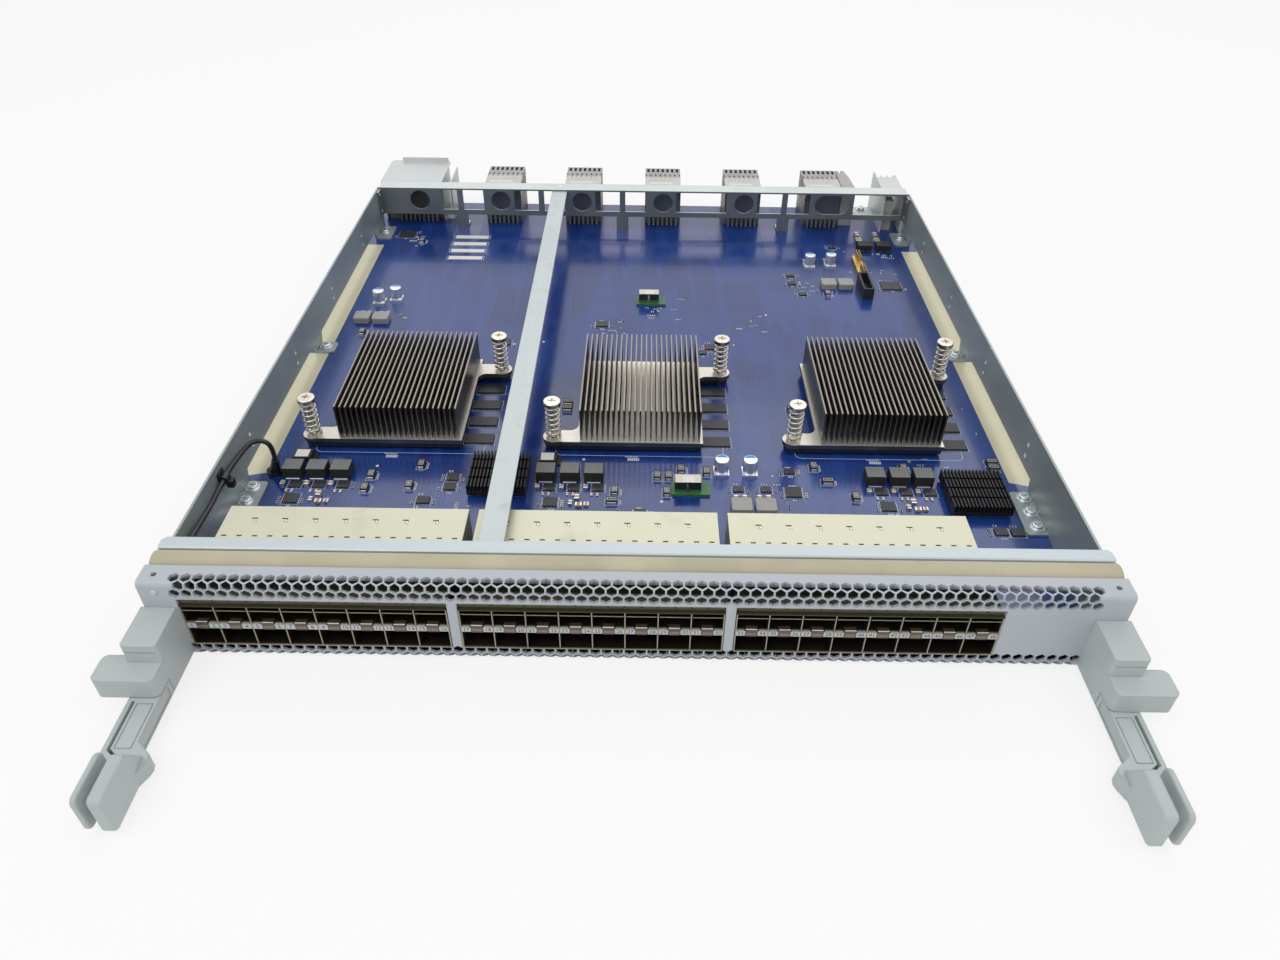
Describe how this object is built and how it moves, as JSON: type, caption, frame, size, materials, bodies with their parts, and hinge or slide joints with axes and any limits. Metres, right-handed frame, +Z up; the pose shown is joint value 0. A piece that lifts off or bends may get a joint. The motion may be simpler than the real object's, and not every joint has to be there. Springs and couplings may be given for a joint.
{
  "type": "switch line card",
  "caption": "Flat network line card: folded front panel of stacked pluggable ports and honeycomb vents, board with finned heat sinks, rear connectors and two swinging ejector levers.",
  "frame": {"origin": "middle of the footprint at the level of the front panel's underside", "axes": "+X to the right seen from the front, +Y from the front panel to the rear connectors, +Z up from the board"},
  "size_m": [0.444, 0.5868, 0.0454],
  "materials": {
    "panel_paint": "satin powder coat",
    "gasket_fabric": "woven conductive cloth over foam",
    "side_gasket_dark": "matt",
    "zinc_sheet": "zinc plated",
    "brace_steel": "bright zinc plated",
    "board_blue": "solder mask on glass-epoxy laminate",
    "cage_nickel": "nickel plated",
    "label_white": "printed",
    "socket_black": "moulded",
    "spring_cream": "tin plated",
    "sink_aluminium": "milled",
    "screw_nickel": "nickel plated",
    "spring_steel": "drawn wire",
    "brass_post": "turned",
    "chip_black": "moulded epoxy",
    "pin_sink_black": "black anodised",
    "connector_grey": "moulded",
    "cover_zinc": "zinc plated",
    "power_black": "moulded",
    "inductor_grey": "moulded ferrite",
    "module_black": "moulded",
    "converter_green": "solder mask",
    "can_aluminium": "drawn",
    "tantalum_tan": "moulded",
    "transistor_black": "moulded",
    "header_gold": "gold flash on brass",
    "header_black": "moulded",
    "passive_tan": "ceramic",
    "light_clear": "clear light pipe",
    "lead_black": "heat-shrink sleeve",
    "plug_black": "moulded",
    "clip_white": "moulded nylon",
    "ejector_grey": "satin cast alloy",
    "pin_steel": "ground",
    "screw_zinc": "bright zinc plated"
  },
  "bodies": {
    "card": {"backplane_connector_1": "connector_grey", "backplane_connector_2": "connector_grey", "backplane_connector_3": "connector_grey", "backplane_connector_4": "connector_grey", "backplane_connector_5": "connector_grey", "board_screws": "screw_zinc", "cage_shells": "cage_nickel", "cage_spring_strips": "spring_cream", "cage_tops": "cage_nickel", "capacitor_cans": "can_aluminium", "centre_brace": "brace_steel", "chip_passives": "passive_tan", "circuit_board": "board_blue", "converter_boards": "converter_green", "ejector_body_left": "ejector_grey", "ejector_body_right": "ejector_grey", "flat_inductors": "inductor_grey", "front_panel": "panel_paint", "guide_module": "connector_grey", "guide_receptacle": "connector_grey", "header_shroud": "header_black", "heat_sink_1": "sink_aluminium", "heat_sink_2": "sink_aluminium", "heat_sink_3": "sink_aluminium", "heat_sink_pads": "chip_black", "heat_sink_screws": "screw_nickel", "heat_sink_springs": "spring_steel", "heat_sink_standoffs": "brass_post", "indicator_lead": "lead_black", "label_strips": "label_white", "lead_clip": "clip_white", "lead_plug": "plug_black", "logic_chips": "chip_black", "memory_chips": "chip_black", "panel_top_rail": "zinc_sheet", "pin_header": "header_gold", "pin_sink_left": "pin_sink_black", "pin_sink_right": "pin_sink_black", "pivot_pins": "pin_steel", "port_dividers": "cage_nickel", "port_shelves": "label_white", "port_sockets": "socket_black", "power_connector": "power_black", "power_inductors": "inductor_grey", "power_transistors": "transistor_black", "rear_bulkhead": "zinc_sheet", "rear_left_cover": "cover_zinc", "rear_right_bracket": "cover_zinc", "side_gaskets": "side_gasket_dark", "side_wall_left": "zinc_sheet", "side_wall_right": "zinc_sheet", "status_light": "light_clear", "switch_chips": "chip_black", "tantalum_capacitors": "tantalum_tan", "top_gasket": "gasket_fabric", "voltage_modules": "module_black"},
    "lever_left": {"ejector_lever_left": "ejector_grey"},
    "lever_right": {"ejector_lever_right": "ejector_grey"},
    "trigger_left": {"ejector_trigger_left": "ejector_grey"},
    "trigger_right": {"ejector_trigger_right": "ejector_grey"}
  },
  "joints": [
    {"name": "lever_left_swing", "type": "hinge", "parent": "card", "child": "lever_left", "pos_m": [-0.2035, -0.21605, 0.0065], "axis": [0, 0, -1], "range_deg": [0, 50]},
    {"name": "trigger_left_squeeze", "type": "slide", "parent": "lever_left", "child": "trigger_left", "axis": [1, 0, 0], "range_m": [0, 0.0034], "stiffness_N_per_m": 300},
    {"name": "lever_right_swing", "type": "hinge", "parent": "card", "child": "lever_right", "pos_m": [0.2035, -0.21605, 0.0065], "axis": [0, 0, 1], "range_deg": [0, 50]},
    {"name": "trigger_right_squeeze", "type": "slide", "parent": "lever_right", "child": "trigger_right", "axis": [-1, 0, 0], "range_m": [0, 0.0034], "stiffness_N_per_m": 300}
  ]
}
